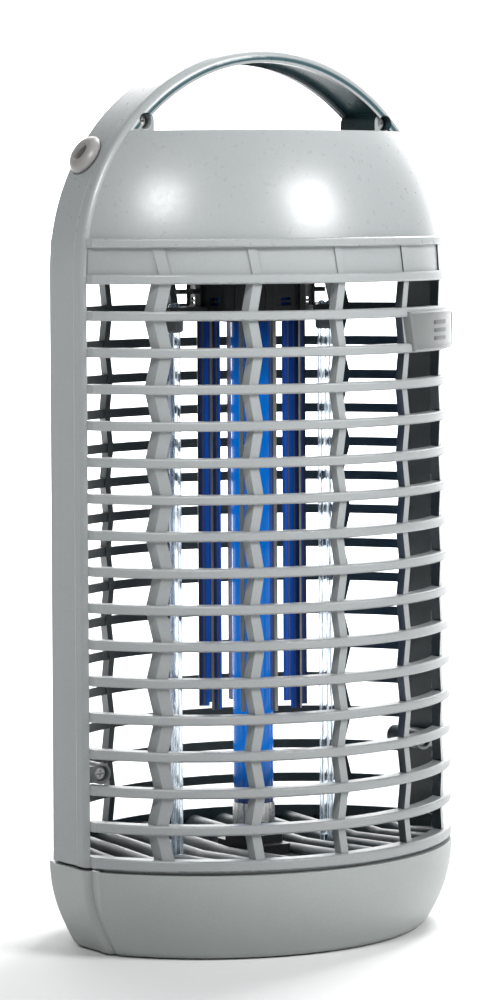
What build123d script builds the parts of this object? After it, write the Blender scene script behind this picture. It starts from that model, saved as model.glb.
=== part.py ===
"""Electric bug zapper: a lantern-shaped cage round an ultraviolet tube and a high-voltage grid.

Millimetres. X runs from side band to side band, -Y is the front, +Z is up. The origin is on the
ground under the middle of the collection tray.
"""
from build123d import *
import os
from math import asin, cos, degrees, radians, sin, sqrt

os.makedirs("parts", exist_ok=True)

# ---- driving dimensions -------------------------------------------------------------------
HALF_WIDTH = 83.0        # side bands and handle, from the middle to the outer edge
BAND_HALF_DEPTH = 12.2   # side bands and handle, front to middle
BAND_WALL = 2.7
BEAD_RADIUS = 3.4        # rounded front edge of the side bands and the handle
BEAD_PROUD = 0.5         # how far the front bead stands out of the flat of the band
REAR_EDGE = 0.7          # smaller rounding of the band's rear edge
LIP_WIDTH = 5.2          # front and rear faces of the band, turned inwards
PARTING_Y = -4.5         # joint between the front and rear mouldings, beside the bead
PLAN_CENTRE = 28.9       # centre of each curved face, behind the middle of the object
BAR_RADIUS = 92.6        # outer face of the cage bars about that centre
BAR_INNER = 87.1
REAR_BAR_RADIUS = 91.0   # the rear bars stand less proud
BAR_ROUND = 0.7
BAR_HEIGHT = 3.5
RIM_HEIGHT = 4.1
BAR_END_X = 81.2         # square ends of the bars on the bead
BAR_PITCH = 13.3
GAP_COUNT = 17           # gaps between the bottom rim and the dome's flange
CAGE_BASE = 33.5         # underside of the cage's rim
HANDLE_CENTRE = 250.5    # centre height of the round handle
DOME_RADIUS = 90.8       # spherical dome faces
SHELL_WALL = 2.4
DOME_TOP = 302.4
FLANGE_HEIGHT = 3.3
RIB_ANGLES = (-44.8, -23.5, -2.2, 19.4, 41.0)   # places of the front ribs round the plan centre
RIB_WIDTH = 3.1
RIB_OUTER = 90.8
RIB_INNER = 86.8
RIB_ZIGZAG = 1.05        # sideways swing of the ribs at each bar
SLAT_PITCH = 12.0
SLAT_COUNT = 6           # floor slats on each side of the middle
SLAT_RADIUS = 3.4
SLAT_TOP_MIDDLE = 32.6
SLAT_TOP_RIM = 35.2
TRAY_TOP = 32.3
TRAY_WALL = 2.0
TRAY_SIDE_RADIUS = 54.0  # side-view curve of the tray's wall
TRAY_FOOT_RADIUS = 5.0   # rounding between the wall and the flat bottom
LAMP_RADIUS = 8.0        # miniature fluorescent tube, 16 mm
LAMP_BASE = 37.0
LAMP_LENGTH = 212.0
LAMP_CAP_LENGTH = 12.0
PIN_LENGTH = 6.5
ELECTRODE_COUNT = 10
ELECTRODE_START = 80.0   # angle of the first electrode from +X
PILASTER_START = 72.0
ELECTRODE_OUTER = 20.6
ELECTRODE_DEPTH = 4.0
ELECTRODE_THICKNESS = 1.4
ELECTRODE_BOTTOM = 85.5
CARRIER_RADIUS = 23.6
CARRIER_BOTTOM = 233.7
DECK_BOTTOM = 250.0
DECK_THICKNESS = 2.5
DECK_RADIUS = 84.4
POST_X = 35.0
POST_WIDTH = 6.4         # fluted section of the clear posts
POST_THICKNESS = 3.4
POST_TURN = -35.0        # their broad faces are turned towards the corners of the cage
POST_TOP = 238.4
DECK_SCREW_X = 44.0
DECK_SCREW_Y = 30.0
SCREW_X = 55.0
SCREW_Z = 306.0
SCREW_SEAT_Y = -6.2
LOWER_SCREW_X = 74.5
LOWER_SCREW_Z = 67.0
SCREW_RADIUS = 1.5
THREAD_HOLE = 1.52       # hole that a screw of that radius is driven into
BADGE_ANGLE = 35.5       # middle of the badge, from the front
BADGE_HALF_LENGTH = 25.6
BADGE_LEAN = 1.7
BADGE_PROUD = 1.5
GLAND_ANGLE = 31.2       # cable bush above the horizontal, on the left shoulder
GLAND_Y = 4.0
GLAND_RADIUS = 7.7
GLAND_NECK = 4.6
GLAND_BORE = 2.9
TRANSFORMER_X = -45.0
FIT_GAP = 0.1            # clearance round fixed inserts

SEAM = CAGE_BASE + BAR_PITCH * GAP_COUNT
DECK_TOP = DECK_BOTTOM + DECK_THICKNESS
LAMP_TOP = LAMP_BASE + LAMP_LENGTH
BIG = 400.0


# ---- helpers ------------------------------------------------------------------------------
def block(x0, x1, y0, y1, z0, z1):
    """A box between two corners."""
    return Pos((x0 + x1) / 2, (y0 + y1) / 2, (z0 + z1) / 2) * Box(x1 - x0, y1 - y0, z1 - z0)


def disc(x, y, z0, z1, radius):
    """An upright cylinder."""
    return Pos(x, y, (z0 + z1) / 2) * Cylinder(radius, z1 - z0)


def tube(x, y, z0, z1, outer, inner):
    """An upright hollow cylinder."""
    return disc(x, y, z0, z1, outer) - disc(x, y, z0 - 1, z1 + 1, inner)


def rod_y(x, z, y0, y1, radius):
    """A cylinder along Y."""
    return Pos(x, (y0 + y1) / 2, z) * Rot(90, 0, 0) * Cylinder(radius, y1 - y0)


def to_rear(shape):
    """The rear twin of a front part."""
    return mirror(shape, about=Plane.XZ)


def one(shape):
    """The single solid of a result, for a clean file."""
    solids = shape.solids()
    if len(solids) != 1:
        raise ValueError(f"expected one solid, got {len(solids)}")
    return solids[0]


def save(shape, name):
    shape.label = name
    export_step(shape, f"parts/{name}.step")


def arc_bar(outer, inner, z0, z1):
    """A bar of the cage's curved front with its outer edges rounded."""
    with BuildSketch(Plane.XZ) as section:
        with Locations(((outer + inner) / 2, (z0 + z1) / 2)):
            Rectangle(outer - inner, z1 - z0)
        fillet(section.vertices().group_by(Axis.X)[-1], BAR_ROUND)
    ring = Pos(0, PLAN_CENTRE, 0) * revolve(section.sketch, axis=Axis.Z)
    return ring & block(-BAR_END_X, BAR_END_X, -BIG, -9.0, z0 - 1, z1 + 1)


def arc_wall(outer, inner, z0, z1, half_width, back=-9.0):
    """A stretch of the cage's curved front between two radii about the plan centre."""
    ring = tube(0, PLAN_CENTRE, z0, z1, outer, inner)
    return ring & block(-half_width, half_width, -BIG, back, z0 - 1, z1 + 1)


# ---- side bands and handle ----------------------------------------------------------------
def leg_section(z):
    """Section of the left leg of the cage, in a level plane: a wall with a bead along its front edge."""
    flat = HALF_WIDTH - BEAD_PROUD
    inner = flat - BAND_WALL
    bead_x, bead_y = HALF_WIDTH - BEAD_RADIUS, BAND_HALF_DEPTH - BEAD_RADIUS
    tip_x = inner + 1.5
    tip_y = bead_y + sqrt(BEAD_RADIUS ** 2 - (tip_x - bead_x) ** 2)
    middle_x = (HALF_WIDTH + tip_x) / 2
    middle_y = bead_y + sqrt(BEAD_RADIUS ** 2 - (middle_x - bead_x) ** 2)
    with BuildSketch(Plane.XY.offset(z)) as section:
        with BuildLine():
            Polyline((-tip_x, -tip_y), (-inner, -tip_y + 2.3), (-inner, BAND_HALF_DEPTH - 1.5),
                     (-inner - 0.8, BAND_HALF_DEPTH), (-flat + REAR_EDGE, BAND_HALF_DEPTH),
                     (-flat, BAND_HALF_DEPTH - REAR_EDGE), (-flat, PARTING_Y + 0.1),
                     (-HALF_WIDTH, PARTING_Y - 1.1), (-HALF_WIDTH, -bead_y))
            ThreePointArc((-HALF_WIDTH, -bead_y), (-middle_x, -middle_y), (-tip_x, -tip_y))
        make_face()
    return section.sketch


def band_section(z):
    """Section of the handle: a channel, open inwards, with a bead along its front edge."""
    flat = HALF_WIDTH - BEAD_PROUD
    inner = flat - BAND_WALL
    lip_inner = HALF_WIDTH - LIP_WIDTH
    lip_back = BAND_HALF_DEPTH - 2.6
    bead_x, bead_y = HALF_WIDTH - BEAD_RADIUS, BAND_HALF_DEPTH - BEAD_RADIUS
    bead_middle = BEAD_RADIUS * sin(radians(45))
    rear_x, rear_y = flat - REAR_EDGE, BAND_HALF_DEPTH - REAR_EDGE
    rear_middle = REAR_EDGE * sin(radians(45))
    with BuildSketch(Plane.XY.offset(z)) as section:
        with BuildLine():
            Polyline((-bead_x, -BAND_HALF_DEPTH), (-lip_inner, -BAND_HALF_DEPTH), (-lip_inner, -lip_back),
                     (-inner, -lip_back), (-inner, lip_back), (-lip_inner, lip_back),
                     (-lip_inner, BAND_HALF_DEPTH), (-rear_x, BAND_HALF_DEPTH))
            ThreePointArc((-rear_x, BAND_HALF_DEPTH), (-rear_x - rear_middle, rear_y + rear_middle),
                          (-flat, rear_y))
            Polyline((-flat, rear_y), (-flat, PARTING_Y + 0.1), (-HALF_WIDTH, PARTING_Y - 1.1),
                     (-HALF_WIDTH, -bead_y))
            ThreePointArc((-HALF_WIDTH, -bead_y), (-bead_x - bead_middle, -bead_y - bead_middle),
                          (-bead_x, -BAND_HALF_DEPTH))
        make_face()
    return section.sketch


def whole_band(section):
    """Both legs and the round handle, from the rim to the top, in one section."""
    leg = extrude(section(CAGE_BASE), HANDLE_CENTRE - CAGE_BASE)
    axis = Axis((0, 0, HANDLE_CENTRE), (0, 1, 0))
    arch = revolve(section(HANDLE_CENTRE), axis=axis, revolution_arc=180)
    return leg + mirror(leg, about=Plane.YZ) + arch


HANDLE_BAND = whole_band(band_section)
LEG_BAND = whole_band(leg_section)


# ---- front and rear upper shells -----------------------------------------------------------
# Each half is drawn as a front half that ends at Y = parting; the rear one is then mirrored.
def head_cut(x, z):
    """Clearance for a screw in the front half: shank and recessed head."""
    return rod_y(x, z, -12.5, 5, SCREW_RADIUS + FIT_GAP) + rod_y(x, z, -13.0, SCREW_SEAT_Y, 3.0)


def pilot_cut(x, z):
    """Blind hole for the screw in the rear half."""
    return rod_y(x, z, -10.4, 5, SCREW_RADIUS + FIT_GAP)


def gland_place(radial):
    """A frame on the left shoulder whose Z points straight out of the band."""
    out = (-cos(radians(GLAND_ANGLE)), 0, sin(radians(GLAND_ANGLE)))
    origin = (out[0] * radial, GLAND_Y, HANDLE_CENTRE + out[2] * radial)
    return Plane(origin=origin, x_dir=(0, 1, 0), z_dir=out)


def upper_shell(band, parting, screw_cut, bar_radius):
    """Half of the dome and the handle."""
    shell = band & block(-BIG, BIG, -BIG, parting, SEAM, BIG)
    centre = Pos(0, PLAN_CENTRE, HANDLE_CENTRE)
    ball, hollow = centre * Sphere(DOME_RADIUS), centre * Sphere(DOME_RADIUS - SHELL_WALL)
    shell += (ball - hollow) & block(-BIG, BIG, -BIG, -10.6, SEAM, DOME_TOP)
    inside_band = rod_y(0, HANDLE_CENTRE, -BIG, BIG, HALF_WIDTH - BEAD_PROUD - 1)
    shell += ball & block(-BIG, BIG, -BIG, parting, DOME_TOP - SHELL_WALL, DOME_TOP) & inside_band
    shell += arc_bar(bar_radius, DOME_RADIUS - SHELL_WALL - 0.6, SEAM, SEAM + FLANGE_HEIGHT)
    for side in (-1, 1):
        x = side * SCREW_X
        shell += rod_y(x, SCREW_Z, -11.0, parting, 4.2) + block(
            x - 4.2, x + 4.2, -11.0, parting, DOME_TOP - 1, SCREW_Z) - screw_cut(x, SCREW_Z)
        shell -= screw_cut(x, SCREW_Z)
        x = side * DECK_SCREW_X
        foot = disc(x, -DECK_SCREW_Y, DECK_TOP, SEAM + 14, 3.2)
        foot += block(x - 1, x + 1, -60, -DECK_SCREW_Y, SEAM, SEAM + 14) & (centre * Sphere(DOME_RADIUS - 0.5))
        shell += foot
        shell -= disc(x, -DECK_SCREW_Y, DECK_TOP - 1, DECK_TOP + 9, THREAD_HOLE)
    return shell


def front_shell():
    return one(upper_shell(HANDLE_BAND, PARTING_Y, head_cut, BAR_RADIUS))


def rear_shell():
    shell = to_rear(upper_shell(to_rear(HANDLE_BAND), -PARTING_Y, pilot_cut, REAR_BAR_RADIUS))
    return one(shell - gland_place(HALF_WIDTH - 12) * Cylinder(GLAND_NECK + FIT_GAP, 40))


# ---- front and rear grilles ----------------------------------------------------------------
def zigzag_rib(angle):
    """A plate, square to the front, that swings from side to side between the bars."""
    middle = RIB_OUTER * sin(radians(angle))
    heights = [CAGE_BASE + RIM_HEIGHT / 2] + [
        CAGE_BASE + BAR_PITCH * k + BAR_HEIGHT / 2 for k in range(1, GAP_COUNT)] + [SEAM]
    swing = [middle + RIB_ZIGZAG * (1 if k % 2 == 0 else -1) for k in range(len(heights))]
    right = [(x + RIB_WIDTH / 2, h) for x, h in zip(swing, heights)]
    left = [(x - RIB_WIDTH / 2, h) for x, h in zip(swing, heights)]
    outline = Plane.XZ * make_face(Polyline(*(right + left[::-1]), close=True))
    return extrude(outline, 100) & arc_wall(RIB_OUTER, RIB_INNER, CAGE_BASE, SEAM, BAR_END_X)


def floor_slat(x):
    """A half-round floor slat that drops from the rim to the middle."""
    rim_y = PLAN_CENTRE - sqrt(89.0 ** 2 - x ** 2)
    slope = (SLAT_TOP_RIM - SLAT_TOP_MIDDLE) / abs(rim_y)
    with BuildSketch(Plane.XZ) as section:
        with BuildLine():
            Line((x - SLAT_RADIUS, SLAT_TOP_MIDDLE - SLAT_RADIUS), (x + SLAT_RADIUS, SLAT_TOP_MIDDLE - SLAT_RADIUS))
            ThreePointArc((x + SLAT_RADIUS, SLAT_TOP_MIDDLE - SLAT_RADIUS), (x, SLAT_TOP_MIDDLE),
                          (x - SLAT_RADIUS, SLAT_TOP_MIDDLE - SLAT_RADIUS))
        make_face()
    slat = extrude(section.sketch, dir=(0, -1, slope), amount=100)
    return slat & disc(0, PLAN_CENTRE, 0, 60, 89.0)


def cage_half(band, ribs, parting, screw_cut, bar_radius):
    """Half of the cage: band legs, bars, ribs, closed panel, deck ledge, skirt and floor slats."""
    legs = band & block(-BIG, BIG, -BIG, parting, 0, SEAM)
    pieces = [arc_bar(bar_radius, BAR_INNER, CAGE_BASE, CAGE_BASE + RIM_HEIGHT)]
    for k in range(1, GAP_COUNT):
        z = CAGE_BASE + BAR_PITCH * k
        pieces.append(arc_bar(bar_radius, BAR_INNER, z, z + BAR_HEIGHT))
    pieces += ribs
    top_bar = CAGE_BASE + BAR_PITCH * (GAP_COUNT - 1)
    pieces.append(arc_wall(RIB_OUTER - 0.6, RIB_OUTER - 2.6, top_bar, SEAM, BAR_END_X))
    pieces.append(arc_wall(BAR_INNER + 0.5, 81.4, DECK_BOTTOM - 2.2, DECK_BOTTOM, 78.0, -12.0))
    pieces.append(arc_wall(90.2, 88.4, CAGE_BASE - 4.8, CAGE_BASE + 1, 78.0))
    inner = HALF_WIDTH - BEAD_PROUD - BAND_WALL
    for side in (-1, 1):
        x0, x1 = sorted((side * (inner - 1.4), side * (inner + 0.2)))
        pieces.append(block(x0, x1, -8.6, parting, CAGE_BASE - 4.8, CAGE_BASE + 4))
        x0, x1 = sorted((side * LOWER_SCREW_X, side * (inner + 0.3)))
        pieces.append(rod_y(side * LOWER_SCREW_X, LOWER_SCREW_Z, -9.4, parting, 3.9))
        pieces.append(block(x0, x1, -9.4, parting, LOWER_SCREW_Z - 3, LOWER_SCREW_Z + 3))
    slats = [k * SLAT_PITCH for k in range(-SLAT_COUNT, SLAT_COUNT + 1) if k != 0]
    pieces += [floor_slat(x) for x in slats]
    pieces.append(block(-78.6, 78.6, -2.6, 0, SLAT_TOP_MIDDLE - SLAT_RADIUS - 1.8,
                        SLAT_TOP_MIDDLE - SLAT_RADIUS + 0.9))
    grille = legs
    for piece in pieces:
        grille += piece
    for side in (-1, 1):
        grille -= screw_cut(side * LOWER_SCREW_X, LOWER_SCREW_Z)
    return grille


def post_sockets():
    """Holes in the cage's floor for the clear posts."""
    return [Pos(side * POST_X, 0, 0) * extrude(Rot(0, 0, side * POST_TURN) * post_section(FIT_GAP), 60)
            for side in (-1, 1)]


def front_grille():
    ribs = [zigzag_rib(angle) for angle in RIB_ANGLES]
    return one(cage_half(LEG_BAND, ribs, PARTING_Y, head_cut, BAR_RADIUS) - post_sockets())


def rear_grille():
    """The front half turned half way round, so its ribs are set the other way."""
    ribs = [mirror(zigzag_rib(angle), about=Plane.YZ) for angle in RIB_ANGLES]
    grille = cage_half(to_rear(LEG_BAND), ribs, -PARTING_Y, pilot_cut, REAR_BAR_RADIUS)
    return one(to_rear(grille) - post_sockets())


# ---- collection tray -----------------------------------------------------------------------
def tray_inset(depth):
    """How far the tray's wall has drawn in at a depth below its top."""
    return TRAY_SIDE_RADIUS - sqrt(TRAY_SIDE_RADIUS ** 2 - depth ** 2)


def side_profile(reach, shrink, floor):
    """Half outline of the tray in side view: straight across, the curved wall and its rounded foot."""
    depth = TRAY_TOP - floor
    top, mid, low = (reach - shrink - tray_inset(d) for d in (0, depth * 0.6, depth))
    outline = Polyline((0, TRAY_TOP), (top, TRAY_TOP)) + ThreePointArc(
        (top, TRAY_TOP), (mid, TRAY_TOP - depth * 0.6), (low, floor)) + Polyline((low, floor), (0, floor), (0, TRAY_TOP))
    face = make_face(outline)
    foot = face.vertices().group_by(Axis.Y)[0].sort_by(Axis.X)[-1]
    return fillet(foot, TRAY_FOOT_RADIUS - shrink)


def flank(reach, shrink, floor, y0, y1, radius):
    """A slice of the tray under the side bands, with its outer edges rounded."""
    outline = Plane.XZ * side_profile(reach, shrink, floor)
    outline += mirror(outline, about=Plane.YZ)
    body = Pos(0, y1, 0) * extrude(outline, y1 - y0)
    outer = y0 if y0 < 0 and y1 < 0 else y1
    edges = [e for e in body.edges() if abs(e.center().Y - outer) < 0.01
             and abs(e.center().X) > 60 and 1 < e.center().Z < TRAY_TOP - 1]
    return fillet(edges, radius) if shrink == 0 else body


def tray_body(shrink, floor):
    """The tray's solid outline, drawn in by a wall thickness for its inside."""
    bowl = revolve(Plane.XZ * side_profile(BAR_RADIUS + 0.2, shrink, floor), axis=Axis.Z)
    front = Pos(0, PLAN_CENTRE, 0) * bowl
    rear = Pos(0, -PLAN_CENTRE, 0) * bowl
    curved = Plane.XZ * side_profile(BAR_END_X - 0.3, shrink, floor)
    curved += mirror(curved, about=Plane.YZ)
    belly = front & rear & extrude(curved, 100, both=True)
    bead = flank(HALF_WIDTH + 0.2, shrink, floor, -BAND_HALF_DEPTH + shrink, PARTING_Y + shrink, BEAD_RADIUS)
    flat = flank(HALF_WIDTH - BEAD_PROUD + 0.2, shrink, floor, PARTING_Y, BAND_HALF_DEPTH - shrink, REAR_EDGE)
    return belly + bead + flat


def collection_tray():
    return one(tray_body(0, 0) - tray_body(TRAY_WALL, TRAY_WALL))


# ---- trim and fasteners --------------------------------------------------------------------
def badge_outline(half_length, z0, z1, margin):
    """A block leaning sideways over the badge's place, square to the cage's face there."""
    turn = radians(BADGE_ANGLE)
    place = Plane(origin=(0, PLAN_CENTRE, 0), x_dir=(cos(turn), sin(turn), 0),
                  z_dir=(sin(turn), -cos(turn), 0))
    lean, half = BADGE_LEAN, half_length - margin
    z0, z1 = z0 + margin, z1 - margin
    outline = Polyline((-half - lean, z1), (half - lean, z1), (half + lean, z0), (-half + lean, z0), close=True)
    return extrude(place * make_face(outline), BIG)


def badge_plate():
    """A blank curved name plate with leaning ends that bridges two bars."""
    low = CAGE_BASE + BAR_PITCH * (GAP_COUNT - 3)
    z0, z1 = low + 0.5, low + BAR_PITCH + 2.0
    proud = BAR_RADIUS + BADGE_PROUD
    back = tube(0, PLAN_CENTRE, low + BAR_HEIGHT + 0.02, low + BAR_PITCH - 0.02, BAR_RADIUS + 0.5, RIB_OUTER + 0.1)
    face = tube(0, PLAN_CENTRE, z0, z1, proud, BAR_RADIUS + 0.02)
    plate = (back + face) & badge_outline(BADGE_HALF_LENGTH, z0, z1, 0)
    rims = [e for e in plate.edges() if all(
        abs(sqrt(v.X ** 2 + (v.Y - PLAN_CENTRE) ** 2) - proud) < 0.01 for v in e.vertices())]
    plate = chamfer(rims, 0.6)
    recess = tube(0, PLAN_CENTRE, z0, z1, proud + 1, proud - 0.35)
    return one(plate - (recess & badge_outline(BADGE_HALF_LENGTH, z0, z1, 1.5)))


def cable_gland():
    """Domed bush with a countersunk bore and a threaded neck."""
    flat = HALF_WIDTH - BEAD_PROUD
    with BuildSketch(Plane.XZ) as section:
        with BuildLine():
            Polyline((GLAND_BORE, -7), (GLAND_NECK, -7), (GLAND_NECK, 0.65), (GLAND_RADIUS, 0.65), (GLAND_RADIUS, 1.3))
            ThreePointArc((GLAND_RADIUS, 1.3), (GLAND_RADIUS - 1.2, 2.9), (GLAND_BORE + 0.9, 3.8))
            Polyline((GLAND_BORE + 0.9, 3.8), (GLAND_BORE + 0.6, 3.6), (GLAND_BORE, 2.5), (GLAND_BORE, -7))
        make_face()
    return one(gland_place(flat) * revolve(section.sketch, axis=Axis.Z))


def gland_nut():
    inner = HALF_WIDTH - BEAD_PROUD - BAND_WALL
    nut = extrude(Rot(0, 0, 30) * RegularPolygon(6.3, 6), 2.8) - Cylinder(GLAND_NECK + 0.02, 20)
    return one(gland_place(inner - 3.3) * nut)


def pan_screw(length):
    """A cross-head screw along +Z with the head's underside at the origin."""
    head = Pos(0, 0, -1.0) * Cylinder(2.6, 2.0)
    head = fillet(head.edges().group_by(Axis.Z)[0], 0.9)
    slot = Pos(0, 0, -1.6) * (Box(3.0, 0.7, 1.2) + Box(0.7, 3.0, 1.2))
    return head + Pos(0, 0, length / 2) * Cylinder(SCREW_RADIUS, length) - slot


def shell_screws():
    screw = Rot(-90, 0, 0) * pan_screw(15)
    places = [(s * SCREW_X, SCREW_Z) for s in (-1, 1)] + [(s * LOWER_SCREW_X, LOWER_SCREW_Z) for s in (-1, 1)]
    return Compound([Pos(x, SCREW_SEAT_Y, z) * screw for x, z in places])


# ---- lamp and its holders ------------------------------------------------------------------
def lamp_tube():
    glass = disc(0, 0, LAMP_BASE + LAMP_CAP_LENGTH - 2, LAMP_TOP - LAMP_CAP_LENGTH + 2, LAMP_RADIUS - 0.35)
    return one(fillet(glass.edges().filter_by(GeomType.CIRCLE), 1.5))


def lamp_caps():
    caps = []
    for low in (LAMP_BASE, LAMP_TOP - LAMP_CAP_LENGTH):
        inner = low + 1.2 if low == LAMP_BASE else low - 1
        caps.append(disc(0, 0, low, low + LAMP_CAP_LENGTH, LAMP_RADIUS)
                    - disc(0, 0, inner, inner + LAMP_CAP_LENGTH - 0.2, LAMP_RADIUS - 0.3))
    return Compound([one(c) for c in caps])


def lamp_pins():
    pins = [disc(x, 0, z, z + PIN_LENGTH, 1.2)
            for x in (-2.5, 2.5) for z in (LAMP_BASE - PIN_LENGTH, LAMP_TOP)]
    return Compound(pins)


def lower_lampholder():
    low = SLAT_TOP_MIDDLE - SLAT_RADIUS + 0.9
    holder = block(-8.0, 8.0, -14, 14, low, LAMP_BASE - 3) + block(-8.0, 8.0, -9, 9, low, LAMP_BASE)
    holder = chamfer(holder.edges().filter_by(Axis.Z), 1.5)
    for x in (-2.5, 2.5):
        holder -= disc(x, 0, LAMP_BASE - PIN_LENGTH - 1, LAMP_BASE + 1, 1.2 + FIT_GAP)
    return one(holder)


def upper_lampholder():
    holder = disc(0, 0, LAMP_TOP, LAMP_TOP + 12, 9.6) + disc(0, 0, DECK_TOP, DECK_TOP + 2, 12.5)
    for x in (-2.5, 2.5):
        holder -= disc(x, 0, LAMP_TOP - 1, LAMP_TOP + PIN_LENGTH + 0.2, 1.2 + FIT_GAP)
    return one(holder)


# ---- grid ----------------------------------------------------------------------------------
def electrode(k, top, grow=0.0):
    """One flat vertical electrode, edge on to the lamp."""
    inner = ELECTRODE_OUTER - ELECTRODE_DEPTH
    blade = block(inner - grow, ELECTRODE_OUTER + grow, -ELECTRODE_THICKNESS / 2 - grow,
                  ELECTRODE_THICKNESS / 2 + grow, ELECTRODE_BOTTOM, top)
    return Rot(0, 0, ELECTRODE_START + k * 360 / ELECTRODE_COUNT) * blade


def electrode_set(first, ring_low, ring_high, ring_inner, other_top):
    """Every second electrode with the ring that joins them."""
    own = tube(0, 0, ring_low, ring_high, ELECTRODE_OUTER, ring_inner)
    for k in range(1 - first, ELECTRODE_COUNT, 2):
        own -= electrode(k, other_top, grow=1.4)
    for k in range(first, ELECTRODE_COUNT, 2):
        own += electrode(k, ring_high)
    return own


def live_electrodes():
    return one(electrode_set(0, 244.0, 245.2, ELECTRODE_OUTER - ELECTRODE_DEPTH, 100.0))


def neutral_electrodes():
    return one(electrode_set(1, 240.4, 241.6, 13.4, 260.0))


def grid_carrier():
    """Black moulding that hangs under the deck and holds the electrodes round the lamp."""
    floor = CARRIER_BOTTOM + 2.5
    body = tube(0, 0, CARRIER_BOTTOM, DECK_BOTTOM, CARRIER_RADIUS, CARRIER_RADIUS - 1.8)
    body += tube(0, 0, CARRIER_BOTTOM, floor, CARRIER_RADIUS, 9.2)
    body += tube(0, 0, CARRIER_BOTTOM - 2.8, floor, 12.0, 9.2)
    for k in range(ELECTRODE_COUNT):
        turn = Rot(0, 0, PILASTER_START + (k + 0.5) * 360 / ELECTRODE_COUNT)
        body -= turn * block(CARRIER_RADIUS - 3, CARRIER_RADIUS + 1, -4.6, 4.6, floor + 0.9, DECK_BOTTOM - 4.5)
        body += turn * block(CARRIER_RADIUS - 1.4, CARRIER_RADIUS - 0.8, -5.4, 5.4, floor, DECK_BOTTOM - 3)
        for z in (237.5, 239.2):
            body -= turn * block(CARRIER_RADIUS - 3, CARRIER_RADIUS + 1, -2.2, 2.2, z, z + 1.1)
        turn = Rot(0, 0, PILASTER_START + k * 360 / ELECTRODE_COUNT)
        body += turn * block(CARRIER_RADIUS - 1, CARRIER_RADIUS + 0.7, -1.7, 1.7, CARRIER_BOTTOM, DECK_BOTTOM)
    for k in range(ELECTRODE_COUNT):
        body -= electrode(k, floor + 1, grow=FIT_GAP)
    arm = block(CARRIER_RADIUS - 1.0, POST_X + 5.0, -5.0, 5.0, CARRIER_BOTTOM + 1.2, CARRIER_BOTTOM + 3.2)
    stub = block(CARRIER_RADIUS - 1.0, POST_X - 1.2, -1.6, 1.6, CARRIER_BOTTOM + 8.0, CARRIER_BOTTOM + 9.8)
    eye = Pos(POST_X, 0, CARRIER_BOTTOM - 1) * extrude(Rot(0, 0, POST_TURN) * post_section(FIT_GAP), 8)
    side = arm + stub - eye
    return one(body + side + mirror(side, about=Plane.YZ))


def post_section(grow=0.0):
    """Two ridges side by side, for the clear posts."""
    ridge = POST_THICKNESS / 2
    offset = POST_WIDTH / 2 - ridge
    section = Pos(-offset, 0) * Circle(ridge + grow) + Pos(offset, 0) * Circle(ridge + grow)
    return section + Rectangle(2 * offset, POST_THICKNESS - 1.0 + 2 * grow)


def support_post(side):
    """A clear fluted column between the cage floor and the grid carrier."""
    low = SLAT_TOP_MIDDLE - SLAT_RADIUS - 3.5
    place = Pos(side * POST_X, 0, 0) * Rot(0, 0, side * POST_TURN)
    ridge = POST_THICKNESS / 2
    offset = POST_WIDTH / 2 - ridge
    post = Pos(0, 0, low) * extrude(post_section(), POST_TOP - ridge - low)
    for x in (-offset, offset):
        post += Pos(x, 0, POST_TOP - ridge) * Sphere(ridge)
    return one(place * post)


def post_collars():
    """Grey collars that carry the carrier's arms on the posts."""
    collars = []
    for side in (-1, 1):
        body = extrude(RectangleRounded(8.0, 5.2, 1.6), 7.5)
        body = chamfer(body.edges().group_by(Axis.Z)[0], 0.7)
        body -= Pos(0, 0, -1) * extrude(post_section(0.02), 10)
        collars.append(Pos(side * POST_X, 0, CARRIER_BOTTOM - 6.3) * Rot(0, 0, side * POST_TURN) * one(body))
    return Compound(collars)


# ---- deck and electrics --------------------------------------------------------------------
def lens_plate(radius, half_width, z0, z1):
    """A level plate with the cage's plan shape."""
    plate = disc(0, PLAN_CENTRE, z0, z1, radius) & disc(0, -PLAN_CENTRE, z0, z1, radius)
    return plate & block(-half_width, half_width, -BIG, BIG, z0, z1)


def chassis_deck():
    deck = lens_plate(DECK_RADIUS, 76.0, DECK_BOTTOM, DECK_TOP) - disc(0, 0, 200, 300, 9.8)
    for x in (-DECK_SCREW_X, DECK_SCREW_X):
        for y in (-DECK_SCREW_Y, DECK_SCREW_Y):
            deck -= disc(x, y, 200, 300, 1.7)
    for x, y in ((-8, 22), (8, 22)):
        deck -= disc(x, y, 200, 300, 2.2)
    return one(deck)


def deck_screws():
    screw = pan_screw(9)
    return Compound([Pos(x, y, DECK_BOTTOM) * screw for x in (-DECK_SCREW_X, DECK_SCREW_X)
                     for y in (-DECK_SCREW_Y, DECK_SCREW_Y)])


def transformer_core():
    """Laminated E-I core standing on the deck."""
    x = TRANSFORMER_X
    core = block(x - 17, x + 17, -9, 9, DECK_TOP + 1.2, DECK_TOP + 30)
    for x0 in (x - 11.5, x + 5.5):
        core -= block(x0, x0 + 6.0, -20, 20, DECK_TOP + 7, DECK_TOP + 24)
    return one(core)


def transformer_winding():
    x, low, high = TRANSFORMER_X, DECK_TOP + 7.1, DECK_TOP + 23.9
    coil = block(x - 11.4, x + 11.4, -15, 15, low, high)
    coil = fillet(coil.edges().filter_by(Axis.Z), 2.5)
    return one(coil - block(x - 5.6, x + 5.6, -9.1, 9.1, low - 1, high + 1))


def transformer_bracket():
    """Bent steel strap over the core with two feet."""
    x = TRANSFORMER_X
    strap = block(x - 18.3, x + 18.3, -6, 6, DECK_TOP, DECK_TOP + 31.2) - block(
        x - 17.05, x + 17.05, -7, 7, DECK_TOP + 1.2, DECK_TOP + 30)
    feet = block(x - 26, x + 26, -6, 6, DECK_TOP, DECK_TOP + 1.2)
    return one(strap + feet)


def starter():
    return one(disc(28, 34, DECK_TOP + 4, DECK_TOP + 30, 8.5) + disc(28, 34, DECK_TOP + 30, DECK_TOP + 32, 6.5))


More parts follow.
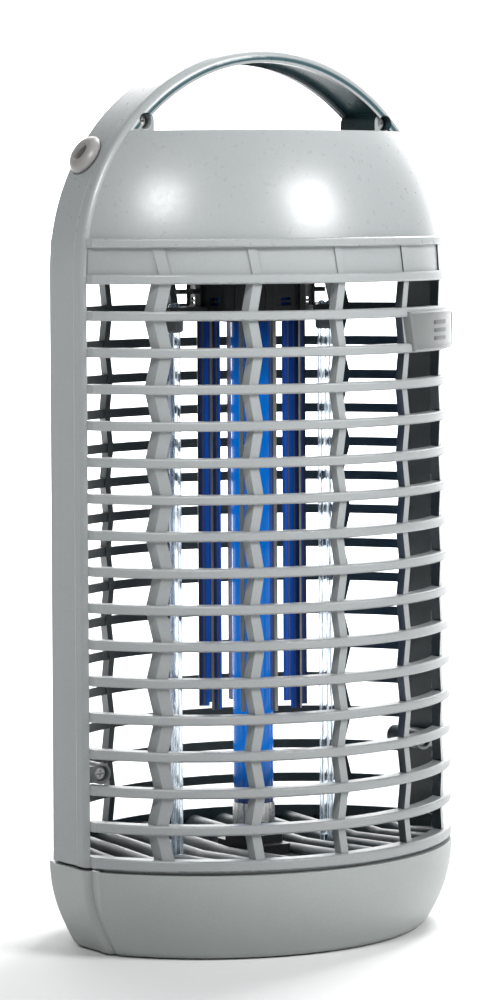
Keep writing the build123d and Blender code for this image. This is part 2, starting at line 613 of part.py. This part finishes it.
def starter_holder():
    holder = block(17, 39, 23, 45, DECK_TOP, DECK_TOP + 9)
    return one(holder - disc(28, 34, DECK_TOP + 4, DECK_TOP + 20, 8.6))


def circuit_board():
    board = block(18, 62, -26, 10, DECK_TOP + 5, DECK_TOP + 6.6)
    for x in (22, 58):
        for y in (-22, 6):
            board -= disc(x, y, 200, 300, 1.6)
    return one(board)


def board_pillars():
    return Compound([tube(x, y, DECK_TOP, DECK_TOP + 5, 2.8, THREAD_HOLE) for x in (22, 58) for y in (-22, 6)])


def board_screws():
    screw = Rot(180, 0, 0) * pan_screw(5.5)
    return Compound([Pos(x, y, DECK_TOP + 6.6) * screw for x in (22, 58) for y in (-22, 6)])


def multiplier_capacitors():
    """Film capacitors of the voltage multiplier."""
    caps = []
    for x in (30, 41, 52):
        cap = block(x - 3.5, x + 3.5, -19, -5, DECK_TOP + 6.6, DECK_TOP + 18)
        caps.append(fillet(cap.edges().filter_by(Axis.Z), 1.2))
    return Compound([one(c) for c in caps])


def multiplier_resistors():
    """Bleed and limiting resistors lying on the board."""
    return Compound([Pos(x, 1.5, DECK_TOP + 8.8) * Rot(90, 0, 0) * Cylinder(2.1, 9) for x in (30, 36, 42, 48)])


def terminal_block():
    body = block(-12, 12, 36, 46, DECK_TOP, DECK_TOP + 12)
    for x in (-8, 0, 8):
        body -= rod_y(x, DECK_TOP + 4.5, 30, 50, 1.5)
        body -= disc(x, 41, DECK_TOP + 7, DECK_TOP + 14, 1.9)
    return one(body)


def cord_clamp():
    """Saddle that grips the mains lead inside the dome."""
    saddle = block(-40, -22, 30, 40, DECK_TOP, DECK_TOP + 10)
    saddle -= rod_y(-31, DECK_TOP + 5, 20, 50, GLAND_BORE)
    return one(saddle - disc(-24.5, 35, 200, 300, 1.7) - disc(-37.5, 35, 200, 300, 1.7))


def clamp_screws():
    screw = Rot(180, 0, 0) * pan_screw(9.8)
    return Compound([Pos(x, 35, DECK_TOP + 10) * screw for x in (-24.5, -37.5)])


for make in (front_shell, rear_shell, front_grille, rear_grille, collection_tray, badge_plate, cable_gland,
             gland_nut, shell_screws, lamp_tube, lamp_caps, lamp_pins, lower_lampholder, upper_lampholder,
             live_electrodes, neutral_electrodes, grid_carrier, post_collars, chassis_deck, deck_screws,
             transformer_core, transformer_winding, transformer_bracket, starter, starter_holder,
             circuit_board, board_pillars, board_screws, multiplier_capacitors, multiplier_resistors,
             terminal_block, cord_clamp, clamp_screws):
    save(make(), make.__name__)
save(support_post(-1), "left_support_post")
save(support_post(1), "right_support_post")
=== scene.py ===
"""Camera, studio light, procedural materials and badge bars for the electric bug zapper."""

from math import cos, pi, radians, sin, tan

import bmesh
import bpy
from mathutils import Matrix, Vector


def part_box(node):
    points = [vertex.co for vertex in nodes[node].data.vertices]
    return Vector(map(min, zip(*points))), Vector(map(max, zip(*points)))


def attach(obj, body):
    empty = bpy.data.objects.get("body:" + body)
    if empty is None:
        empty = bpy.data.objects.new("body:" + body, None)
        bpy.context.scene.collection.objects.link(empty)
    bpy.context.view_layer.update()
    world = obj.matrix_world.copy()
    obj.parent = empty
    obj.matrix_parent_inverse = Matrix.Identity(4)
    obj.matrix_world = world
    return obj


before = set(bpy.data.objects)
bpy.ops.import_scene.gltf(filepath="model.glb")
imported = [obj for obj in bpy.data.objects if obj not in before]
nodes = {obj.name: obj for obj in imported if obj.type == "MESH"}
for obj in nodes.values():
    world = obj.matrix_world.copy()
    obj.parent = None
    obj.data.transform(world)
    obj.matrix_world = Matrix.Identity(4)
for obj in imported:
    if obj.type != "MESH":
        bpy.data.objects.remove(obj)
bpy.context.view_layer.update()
scene = bpy.context.scene
# Lengths are in metres; MM turns millimetres into metres.
MM = 0.001

# ---- camera ---------------------------------------------------------------------------
FRAME_PX = 1000.0
FOCAL_PX = 3825.0
SENSOR_MM = 36.0
CAMERA_TURN = radians(35.15)
CAMERA_DISTANCE = 1.447
CAMERA_HEIGHT = 0.2735
PITCH = radians(1.05)
ROLL = radians(-0.33)
SHIFT_X = -0.0012
HORIZON_PX = 208.7


def camera_side(right, toward, up):
    """A point given to the right of the camera's line, toward the camera, and up."""
    c, s = cos(CAMERA_TURN), sin(CAMERA_TURN)
    return (right * c - toward * s, -right * s - toward * c, up)


def add_camera():
    data = bpy.data.cameras.new("camera")
    data.lens = FOCAL_PX / FRAME_PX * SENSOR_MM
    data.sensor_width = SENSOR_MM
    data.sensor_fit = "AUTO"
    data.clip_start, data.clip_end = 0.05, 50.0
    data.shift_x = SHIFT_X
    data.shift_y = (HORIZON_PX + FOCAL_PX * tan(PITCH)) / FRAME_PX - 0.5
    camera = bpy.data.objects.new("camera", data)
    scene.collection.objects.link(camera)
    place = Matrix.Translation(camera_side(0, CAMERA_DISTANCE, CAMERA_HEIGHT))
    turn = Matrix.Rotation(-CAMERA_TURN, 4, "Z")
    tilt = Matrix.Rotation(radians(90) - PITCH, 4, "X")
    camera.matrix_world = place @ turn @ tilt @ Matrix.Rotation(ROLL, 4, "Z")
    scene.camera = camera


# ---- stage and light ------------------------------------------------------------------
FLOOR_HALF_WIDTH = 6.0
FLOOR_FRONT = -6.0
FLOOR_BACK = 4.0
FLOOR_CURVE_RADIUS = 1.5
FLOOR_CURVE_STEPS = 16
BACKDROP_HEIGHT = 5.0
FLOOR_DROP = 0.2 * MM

WORLD_COLOUR = (0.95, 0.975, 1.0, 1)
WORLD_STRENGTH = 0.12
# Name, place (right of the camera's line, toward the camera, up), target, size and watts.
LIGHTS = (
    ("right_softbox", (1.08, 0.72, 0.94), (0, 0, 0.24), (0.56, 0.50), 21),
    ("left_softbox", (-0.51, 1.16, 1.07), (0, 0, 0.24), (0.46, 0.42), 12.5),
    ("overhead", (0.45, -0.90, 1.50), (0, 0, 0.05), (0.6, 0.6), 33),
    ("backdrop", (0, -2.2, 2.6), camera_side(0, -4.0, 0.9), (3.5, 2.0), 520),
)


def node_material(name):
    material = bpy.data.materials.new(name)
    material.use_nodes = True
    tree = material.node_tree
    return material, tree, tree.nodes["Principled BSDF"]


def floor_paper():
    """Matt pale paper with a slight unevenness."""
    material, tree, shader = node_material("floor_paper")
    noise = tree.nodes.new("ShaderNodeTexNoise")
    noise.inputs["Scale"].default_value = 9.0
    ramp = tree.nodes.new("ShaderNodeValToRGB")
    ramp.color_ramp.elements[0].color = (0.66, 0.66, 0.664, 1)
    ramp.color_ramp.elements[1].color = (0.69, 0.69, 0.69, 1)
    tree.links.new(noise.outputs["Fac"], ramp.inputs["Fac"])
    tree.links.new(ramp.outputs["Color"], shader.inputs["Base Color"])
    shader.inputs["Roughness"].default_value = 0.9
    shader.inputs["Specular IOR Level"].default_value = 0.1
    return material


def add_floor():
    """A pale floor that curves up into a backdrop well behind the object."""
    start, radius = FLOOR_BACK - FLOOR_CURVE_RADIUS, FLOOR_CURVE_RADIUS
    turns = [pi / 2 * k / FLOOR_CURVE_STEPS for k in range(1, FLOOR_CURVE_STEPS + 1)]
    profile = [(FLOOR_FRONT, 0.0), (start, 0.0)]
    profile += [(start + radius * sin(a), radius - radius * cos(a)) for a in turns]
    profile.append((FLOOR_BACK, BACKDROP_HEIGHT))
    build = bmesh.new()
    rows = [[build.verts.new((x, y, z)) for x in (-FLOOR_HALF_WIDTH, FLOOR_HALF_WIDTH)]
            for y, z in profile]
    for low, high in zip(rows, rows[1:]):
        build.faces.new((low[0], low[1], high[1], high[0])).smooth = True
    mesh = bpy.data.meshes.new("floor")
    build.to_mesh(mesh)
    build.free()
    mesh.materials.append(floor_paper())
    floor = bpy.data.objects.new("floor", mesh)
    turn = Matrix.Rotation(-CAMERA_TURN, 4, "Z")
    floor.matrix_world = turn @ Matrix.Translation((0, 0, -FLOOR_DROP))
    scene.collection.objects.link(floor)


def add_area(name, position, target, size, watts):
    data = bpy.data.lights.new(name, "AREA")
    data.shape = "RECTANGLE"
    data.size, data.size_y = size
    data.energy = watts
    light = bpy.data.objects.new(name, data)
    light.location = Vector(position)
    aim = Vector(target) - Vector(position)
    light.rotation_euler = aim.to_track_quat("-Z", "Y").to_euler()
    scene.collection.objects.link(light)


def add_light():
    world = bpy.data.worlds.new("studio")
    scene.world = world
    world.use_nodes = True
    background = world.node_tree.nodes["Background"]
    background.inputs["Color"].default_value = WORLD_COLOUR
    background.inputs["Strength"].default_value = WORLD_STRENGTH
    for name, place, target, size, watts in LIGHTS:
        add_area(name, camera_side(*place), target, size, watts)


scene.view_settings.view_transform = "Standard"
add_camera()
add_floor()
add_light()

# ---- materials ------------------------------------------------------------------------
DRAWN_LINES = (300.0, 300.0, 9.0)
GREY = (0.328, 0.348, 0.353)
# Painted shade: the dark colour given to the surfaces that face the middle of the housing and cage.
INSIDE_PAINTED_SHADE = (0.009, 0.024, 0.028)
# Painted shade: the housing's and the cage's colour gets darker from the first height down to the
# second, where less light falls.
LOW_SHADE_HEIGHTS = (0.26, 0.03)
# The channel under the loop handle, where a shadow is painted: a ring's slice, seen from the front.
HANDLE_CENTRE_HEIGHT = 0.2505
CHANNEL_OUTER_EDGE = (0.0806, 0.0800)
CHANNEL_INNER_EDGE = (0.0786, 0.0790)
CHANNEL_FOOT = (0.3026, 0.3032)
# Distances from the lamp's axis across the electrode strips, for the painted lamp light, the
# painted highlight line and the painted glow.
STRIP_PAINTED_LIGHT_EDGE = (0.0200, 0.0192)
STRIP_HIGHLIGHT_LINE = 0.0186
STRIP_HIGHLIGHT_HALF_WIDTH = (0.0004, 0.0002)
STRIP_PAINTED_GLOW_EDGE = (0.0184, 0.0176)
# Where the strips' painted glow starts and is full, measured down from the lamp's top.
STRIP_PAINTED_GLOW_FADE = (0.012, 0.045)
# Lengths of the lamp's dark ends.
LAMP_FOOT_FADE = 0.02
LAMP_TOP_FADE = 0.035
DUST_COLOUR = (0.33, 0.32, 0.29)
DUST_HEIGHT = 0.06
TARNISH_COLOUR = (0.25, 0.24, 0.22)
# Steel grey, used for the painted highlight line on the electrode strips and, lightened, for the
# painted highlight on their outer edges.
STEEL_HIGHLIGHT = (0.10, 0.11, 0.10)


def scaled(colour, factor):
    return tuple(min(1.0, c * factor) for c in colour)


def heights(node):
    """The lowest and highest point of a CAD node."""
    return [corner[2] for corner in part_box(node)]


class Graph:
    """Short names for building a material's node graph."""

    def __init__(self, name):
        self.material, self.tree, self.shader = node_material(name)
        self.coords = self.add("TexCoord").outputs["Object"]

    def add(self, kind, **inputs):
        made = self.tree.nodes.new("ShaderNode" + kind)
        for key, value in inputs.items():
            self.feed(made.inputs[key.replace("_", " ")], value)
        return made

    def feed(self, socket, value):
        if isinstance(value, bpy.types.NodeSocket):
            self.tree.links.new(value, socket)
        else:
            socket.default_value = value

    def noise(self, scale, detail=2.0, coords=None, roughness=0.5):
        made = self.add("TexNoise", Scale=scale, Detail=detail, Roughness=roughness)
        self.feed(made.inputs["Vector"], coords or self.coords)
        return made.outputs["Fac"]

    def stretched(self, scale):
        made = self.add("Mapping", Vector=self.coords)
        made.inputs["Scale"].default_value = scale
        return made.outputs["Vector"]

    def drawn_lines(self):
        """Fine upright lines, as rolling leaves them."""
        return self.noise(1.0, 4.0, self.stretched(DRAWN_LINES), 0.6)

    def maths(self, operation, a, b=0.0):
        made = self.add("Math")
        made.operation = operation
        self.feed(made.inputs[0], a)
        self.feed(made.inputs[1], b)
        return made.outputs[0]

    def span(self, value, low, high, to_low=0.0, to_high=1.0):
        """Map low..high to to_low..to_high, and hold the ends beyond them."""
        made = self.add("MapRange", Value=value)
        keys = ("From Min", "From Max", "To Min", "To Max")
        for key, number in zip(keys, (low, high, to_low, to_high)):
            made.inputs[key].default_value = number
        return made.outputs["Result"]

    def mix(self, factor, a, b, mode="MIX"):
        made = self.add("Mix")
        made.data_type, made.blend_type = "RGBA", mode
        self.feed(made.inputs["Factor"], factor)
        for socket, value in zip([s for s in made.inputs if s.type == "RGBA"], (a, b)):
            self.feed(socket, (*value, 1) if isinstance(value, tuple) else value)
        return next(s for s in made.outputs if s.type == "RGBA")

    def bump(self, height, distance, strength):
        made = self.add("Bump", Height=height, Distance=distance, Strength=strength)
        return made.outputs["Normal"]

    def axes(self, vector=None):
        """The three outputs of a vector, or of the place on the object."""
        return self.add("SeparateXYZ", Vector=vector or self.coords).outputs

    def reach(self, a, b):
        """The distance from an axis, from the two coordinates across it."""
        squares = [self.maths("MULTIPLY", value, value) for value in (a, b)]
        return self.maths("SQRT", self.maths("ADD", *squares))

    def finish(self, colour, roughness, normal, **fixed):
        """Link the colour, roughness and normal, and set the plain numbers."""
        self.feed(self.shader.inputs["Base Color"], colour)
        self.feed(self.shader.inputs["Roughness"], roughness)
        self.feed(self.shader.inputs["Normal"], normal)
        for key, value in fixed.items():
            self.shader.inputs[key.replace("_", " ")].default_value = value
        return self.material


def handle_channel_painted_shadow(g):
    """1 on the floor of the handle's channel, which lies in its own shadow: the mask for the shadow
    painted there.
    """
    x, _, z = g.axes()
    reach = g.reach(x, g.maths("SUBTRACT", z, HANDLE_CENTRE_HEIGHT))
    ring = g.maths("MULTIPLY", g.span(reach, *CHANNEL_OUTER_EDGE),
                   g.span(reach, *CHANNEL_INNER_EDGE))
    return g.maths("MULTIPLY", ring, g.span(z, *CHANNEL_FOOT))


def radial_facing(g, low, high):
    """A span of how far a surface faces out from the upright axis: 1 is out, -1 is in."""
    normal = g.axes(g.add("NewGeometry").outputs["Normal"])
    place = g.axes()
    products = [g.maths("MULTIPLY", normal[k], place[k]) for k in (0, 1)]
    reach = g.maths("MAXIMUM", g.reach(place[0], place[1]), MM)
    return g.span(g.maths("DIVIDE", g.maths("ADD", *products), reach), low, high)


def moulded_plastic(name, colour, roughness, speckle=0.035, dust=0.0, painted_inner_shade=None,
                    painted_low_shade=1.0):
    """Satin moulded plastic: pigment speckle, faint flow clouds and streaks, paler edges and grain.

    dust is how much of it gathers low down; the inner shade argument is the colour of the painted
    shade on the surfaces that face the middle and, lightened, of the painted shadow in the handle's
    channel; the low tone argument is how dark the painted shade makes the colour toward the foot.
    """
    g = Graph(name)
    fine = g.noise(1500.0)
    clouds = g.noise(26.0, 3.0)
    streaks = g.noise(1.0, 3.0, g.stretched((60.0, 60.0, 7.0)))
    edges = g.span(g.add("NewGeometry").outputs["Pointiness"], 0.57, 0.68, 0.0, 0.30)
    tone = g.mix(g.span(fine, 0.35, 0.65), scaled(colour, 1 - speckle), scaled(colour, 1 + speckle))
    tone = g.mix(g.span(clouds, 0.3, 0.7, 0.0, 0.35), tone, scaled(colour, 0.94))
    tone = g.mix(g.span(streaks, 0.45, 0.75, 0.0, 0.16), tone, scaled(colour, 1.05))
    tone = g.mix(edges, tone, scaled(colour, 1.16))
    # Painted shade: darker toward the foot, where less light falls.
    if painted_low_shade != 1.0:
        darker = g.mix(1.0, tone, (painted_low_shade,) * 3, "MULTIPLY")
        tone = g.mix(g.span(g.axes()[2], *LOW_SHADE_HEIGHTS), tone, darker)
    if dust:
        low = g.span(g.axes()[2], 0.0, DUST_HEIGHT, 1.0, 0.0)
        patch = g.span(g.noise(55.0, 4.0), 0.45, 0.72)
        amount = g.maths("MULTIPLY", g.maths("MULTIPLY", low, patch), dust)
        tone = g.mix(amount, tone, DUST_COLOUR)
    # Painted shade on the surfaces that face the middle, and a lighter painted shadow on the floor
    # of the handle's channel.
    if painted_inner_shade:
        tone = g.mix(radial_facing(g, -0.15, -0.55), tone, painted_inner_shade)
        tone = g.mix(handle_channel_painted_shadow(g), tone, scaled(painted_inner_shade, 3.0))
    rough = g.span(g.noise(420.0), 0.3, 0.7, roughness - 0.02, roughness + 0.03)
    normal = g.bump(g.noise(2200.0, 1.0), 0.03 * MM, 0.20)
    return g.finish(tone, rough, normal, Specular_IOR_Level=0.6)


def brushed_metal(name, colour, roughness, metallic=1.0):
    """Rolled or turned metal with drawn lines and a little tarnish."""
    g = Graph(name)
    lines = g.drawn_lines()
    tarnish = g.span(g.noise(120.0, 4.0), 0.5, 0.75, 0.0, 0.35)
    tone = g.mix(tarnish, g.mix(lines, scaled(colour, 0.86), colour), TARNISH_COLOUR)
    rough = g.span(lines, 0.2, 0.8, roughness - 0.06, roughness + 0.08)
    return g.finish(tone, rough, g.bump(lines, 0.04 * MM, 0.4), Metallic=metallic)


def blade_steel():
    """Plated strip with painted highlights on its outer edges, painted blue lamp light and glow
    near the tube, and painted shade away from it.
    """
    g = Graph("electrode_steel")
    lines = g.drawn_lines()
    x, y, z = g.axes()
    reach = g.reach(x, y)
    # Painted shade on the faces away from the tube, painted blue lamp light on the faces near it.
    dark = g.mix(lines, (0.008, 0.014, 0.030), (0.020, 0.030, 0.050))
    blue = g.mix(lines, (0.000, 0.030, 0.22), (0.002, 0.060, 0.36))
    # A thin painted highlight line across the blue faces.
    from_line = g.maths("ABSOLUTE", g.maths("SUBTRACT", reach, STRIP_HIGHLIGHT_LINE))
    blue = g.mix(g.span(from_line, *STRIP_HIGHLIGHT_HALF_WIDTH), blue, STEEL_HIGHLIGHT)
    tone = g.mix(g.span(reach, *STRIP_PAINTED_LIGHT_EDGE), dark, blue)
    # The outer edges: the steel's grey, lightened as a painted highlight, with no painted glow.
    edge = radial_facing(g, 0.90, 0.97)
    tone = g.mix(edge, tone, g.mix(lines, STEEL_HIGHLIGHT, (0.28, 0.29, 0.27)))
    # Painted glow: the faces near the tube give out blue light, though the strips are no lamp.
    glow = g.mix(g.span(reach, *STRIP_PAINTED_GLOW_EDGE), (0.0, 0.0, 0.001), (0.0, 0.052, 0.26))
    top = heights("lamp_tube")[1]
    fade = g.span(z, *(top - drop for drop in STRIP_PAINTED_GLOW_FADE), 0.1, 0.6)
    g.feed(g.shader.inputs["Emission Color"], g.mix(edge, glow, (0.0, 0.0, 0.0)))
    g.feed(g.shader.inputs["Emission Strength"], fade)
    rough = g.span(lines, 0.2, 0.8, 0.26, 0.38)
    return g.finish(tone, rough, g.bump(lines, 0.04 * MM, 0.4), Metallic=0.3)


def laminations():
    """Stacked transformer sheets, half a millimetre each, with some rust."""
    g = Graph("core_steel")
    sheets = g.maths("FRACT", g.maths("MULTIPLY", g.axes()[1], 2000.0))
    gap = g.span(g.maths("ABSOLUTE", g.maths("SUBTRACT", sheets, 0.5)), 0.36, 0.48)
    rust = g.span(g.noise(160.0, 4.0), 0.55, 0.75, 0.0, 0.35)
    tone = g.mix(gap, (0.20, 0.20, 0.21), (0.05, 0.05, 0.055))
    tone = g.mix(rust, tone, (0.16, 0.08, 0.04))
    rough = g.span(rust, 0.0, 0.35, 0.38, 0.62)
    return g.finish(tone, rough, g.bump(gap, -0.15 * MM, 0.7), Metallic=0.7)


def winding():
    """Rows of enamelled wire under a varnish."""
    g = Graph("enamelled_wire")
    rows = g.add("TexWave", Vector=g.coords, Scale=330.0, Distortion=0.4, Detail=1.0)
    rows.bands_direction = "Z"
    wave = rows.outputs["Fac"]
    # Painted shade: darker in the grooves between the turns of wire.
    tone = g.mix(wave, (0.10, 0.035, 0.012), (0.46, 0.18, 0.06))
    tone = g.mix(g.span(g.noise(140.0, 3.0), 0.4, 0.7, 0.0, 0.3), tone, (0.30, 0.10, 0.03))
    rough = g.span(wave, 0.0, 1.0, 0.34, 0.20)
    return g.finish(tone, rough, g.bump(wave, 0.25 * MM, 0.8), Metallic=0.5)


def laminate_board():
    """Green board with a weave under the varnish and lighter copper areas."""
    g = Graph("board_laminate")
    weave = g.add("TexBrick", Vector=g.coords, Scale=900.0).outputs["Fac"]
    land = g.span(g.noise(170.0, 0.0), 0.50, 0.54)
    tone = g.mix(land, (0.012, 0.085, 0.035), (0.030, 0.16, 0.06))
    tone = g.mix(g.maths("MULTIPLY", weave, 0.25), tone, (0.05, 0.12, 0.05))
    rough = g.span(land, 0.0, 1.0, 0.30, 0.22)
    return g.finish(tone, rough, g.bump(land, 0.04 * MM, 0.6), Coat_Weight=0.3)


def dipped(name, colour):
    """Glossy dipped lacquer that pools unevenly."""
    g = Graph(name)
    pool = g.noise(240.0)
    tone = g.mix(pool, scaled(colour, 0.75), scaled(colour, 1.15))
    rough = g.span(pool, 0.3, 0.7, 0.16, 0.28)
    return g.finish(tone, rough, g.bump(pool, 0.2 * MM, 0.5), Coat_Weight=0.5)


def painted_sheet():
    """Grey stove enamel with a slight orange peel."""
    g = Graph("deck_enamel")
    peel = g.noise(700.0)
    clouds = g.noise(30.0, 3.0)
    tone = g.mix(g.span(clouds, 0.3, 0.7), (0.075, 0.080, 0.085), (0.095, 0.100, 0.105))
    rough = g.span(peel, 0.3, 0.7, 0.34, 0.44)
    return g.finish(tone, rough, g.bump(peel, 0.06 * MM, 0.5), Coat_Weight=0.2)


def lamp_coating():
    """Phosphor-coated tube that glows blue, with darkened ends."""
    g = Graph("lamp_coating")
    low, high = heights("lamp_tube")
    z = g.axes()[2]
    lit = g.maths("MINIMUM", g.span(z, low, low + LAMP_FOOT_FADE),
                  g.span(z, high, high - LAMP_TOP_FADE))
    mottle = g.span(g.noise(90.0, 3.0), 0.3, 0.7, 0.92, 1.05)
    strength = g.maths("MULTIPLY", g.span(lit, 0, 1, 0.35, 0.95), mottle)
    g.feed(g.shader.inputs["Emission Color"], g.mix(lit, (0.002, 0.006, 0.06), (0.0, 0.125, 0.50)))
    g.feed(g.shader.inputs["Emission Strength"], strength)
    tone = g.mix(lit, (0.004, 0.008, 0.03), (0.0, 0.02, 0.08))
    return g.finish(tone, 0.12, g.bump(g.noise(300.0), 0.02 * MM, 0.3), Specular_IOR_Level=0.25,
                    Coat_Weight=0.12, Coat_Roughness=0.08)


def clear_plastic():
    """Clear moulded acrylic with flow lines, frosted streaks, a painted reflection of the lamp's
    blue and a painted glow in the frost.
    """
    g = Graph("clear_acrylic")
    flow = g.noise(1.0, 3.0, g.stretched((900.0, 900.0, 16.0)), 0.6)
    frost_noise = g.noise(1.0, 2.0, g.stretched((1300.0, 1300.0, 34.0)), 0.55)
    frost = g.span(frost_noise, 0.50, 0.64)
    # Painted reflection: streaks of the lamp's blue.
    shade_noise = g.noise(1.0, 2.0, g.stretched((1500.0, 1500.0, 60.0)))
    shade = g.span(shade_noise, 0.58, 0.70, 0.0, 0.55)
    tint = g.mix(frost, (0.80, 0.90, 0.97), (0.96, 0.98, 1.0))
    tint = g.mix(shade, tint, (0.10, 0.22, 0.40))
    g.feed(g.shader.inputs["Transmission Weight"], g.span(frost, 0.0, 1.0, 1.0, 0.55))
    # Painted glow: the frosted streaks give out pale blue light.
    g.feed(g.shader.inputs["Emission Color"], g.mix(frost, (0.0, 0.0, 0.0), (0.55, 0.72, 0.90)))
    rough = g.span(frost, 0.0, 1.0, 0.03, 0.30)
    return g.finish(tint, rough, g.bump(flow, 0.5 * MM, 0.7), IOR=1.49, Emission_Strength=0.12)


def paint(material, *names):
    """Give CAD nodes a material in place of their plain ones."""
    for name in names:
        for slot in nodes[name].material_slots:
            slot.link = "OBJECT"
            slot.material = material


# The housing and the cage get painted shade on their inward faces, in the handle's channel and
# toward the foot.
paint(moulded_plastic("housing_plastic", GREY, 0.29, painted_inner_shade=INSIDE_PAINTED_SHADE, painted_low_shade=0.70),
      "front_shell", "rear_shell")
paint(moulded_plastic("cage_plastic", GREY, 0.34, painted_inner_shade=INSIDE_PAINTED_SHADE, painted_low_shade=0.70),
      "front_grille", "rear_grille")
# Painted shade: the tray's grey is set darker than the housing's.
paint(moulded_plastic("tray_plastic", (0.262, 0.284, 0.276), 0.36, dust=0.10), "collection_tray")
paint(moulded_plastic("badge_plastic", (0.150, 0.163, 0.160), 0.36), "badge_plate")
paint(moulded_plastic("white_plastic", (0.27, 0.262, 0.254), 0.36),
      "cable_gland", "gland_nut", "starter_holder", "terminal_block")
paint(moulded_plastic("black_plastic", (0.010, 0.013, 0.014), 0.40, speckle=0.2),
      "lower_lampholder", "upper_lampholder", "grid_carrier", "cord_clamp")
paint(moulded_plastic("collar_plastic", (0.15, 0.165, 0.18), 0.42), "post_collars")
paint(brushed_metal("plated_steel", (0.74, 0.74, 0.73), 0.32, metallic=0.55),
      "shell_screws", "deck_screws", "board_screws", "clamp_screws", "board_pillars",
      "transformer_bracket")
paint(blade_steel(), "live_electrodes", "neutral_electrodes")
paint(brushed_metal("aluminium", (0.78, 0.79, 0.80), 0.25), "lamp_caps", "starter")
paint(brushed_metal("brass", (0.78, 0.58, 0.28), 0.28), "lamp_pins")
paint(painted_sheet(), "chassis_deck")
paint(laminations(), "transformer_core")
paint(winding(), "transformer_winding")
paint(laminate_board(), "circuit_board")
paint(dipped("capacitor_lacquer", (0.42, 0.07, 0.04)), "multiplier_capacitors")
paint(dipped("resistor_lacquer", (0.50, 0.36, 0.20)), "multiplier_resistors")
paint(lamp_coating(), "lamp_tube")
paint(clear_plastic(), "left_support_post", "right_support_post")

# ---- badge bars -----------------------------------------------------------------------
# The badge plate is curved about an upright axis behind the lamp. Angles are from the front.
BADGE_AXIS_Y = 28.9 * MM
BAR_ANGLES = (30.5, 38.5)
BAR_STEPS = 8
BAR_RADII = (93.6 * MM, 94.0 * MM)
BAR_HALF_HEIGHT = 0.7 * MM
BAR_PITCH = 3.0 * MM
BAR_BEVEL = 0.12 * MM


def add_bar(build, height):
    """A curved raised bar on the badge plate."""
    inner, outer = BAR_RADII
    low, high = height - BAR_HALF_HEIGHT, height + BAR_HALF_HEIGHT
    section = ((inner, low), (outer, low), (outer, high), (inner, high))
    start, end = BAR_ANGLES
    rings = []
    for k in range(BAR_STEPS + 1):
        turn = radians(start + (end - start) * k / BAR_STEPS)
        rings.append([build.verts.new((r * sin(turn), BADGE_AXIS_Y - r * cos(turn), z))
                      for r, z in section])
    for a, b in zip(rings, rings[1:]):
        for i in range(4):
            build.faces.new((a[i], a[(i + 1) % 4], b[(i + 1) % 4], b[i]))
    build.faces.new(rings[0][::-1])
    build.faces.new(rings[-1])


def add_badge_mark():
    """Three plain raised bars on the blank plate."""
    middle = sum(heights("badge_plate")) / 2
    build = bmesh.new()
    for row in (-1, 0, 1):
        add_bar(build, middle + row * BAR_PITCH)
    bmesh.ops.recalc_face_normals(build, faces=build.faces)
    mesh = bpy.data.meshes.new("badge_mark")
    build.to_mesh(mesh)
    build.free()
    mesh.materials.append(moulded_plastic("badge_mark_plastic", (0.045, 0.052, 0.050), 0.38))
    piece = bpy.data.objects.new("badge_mark", mesh)
    scene.collection.objects.link(piece)
    bevel = piece.modifiers.new("edges", "BEVEL")
    bevel.width, bevel.segments = BAR_BEVEL, 2
    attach(piece, "housing")


add_badge_mark()
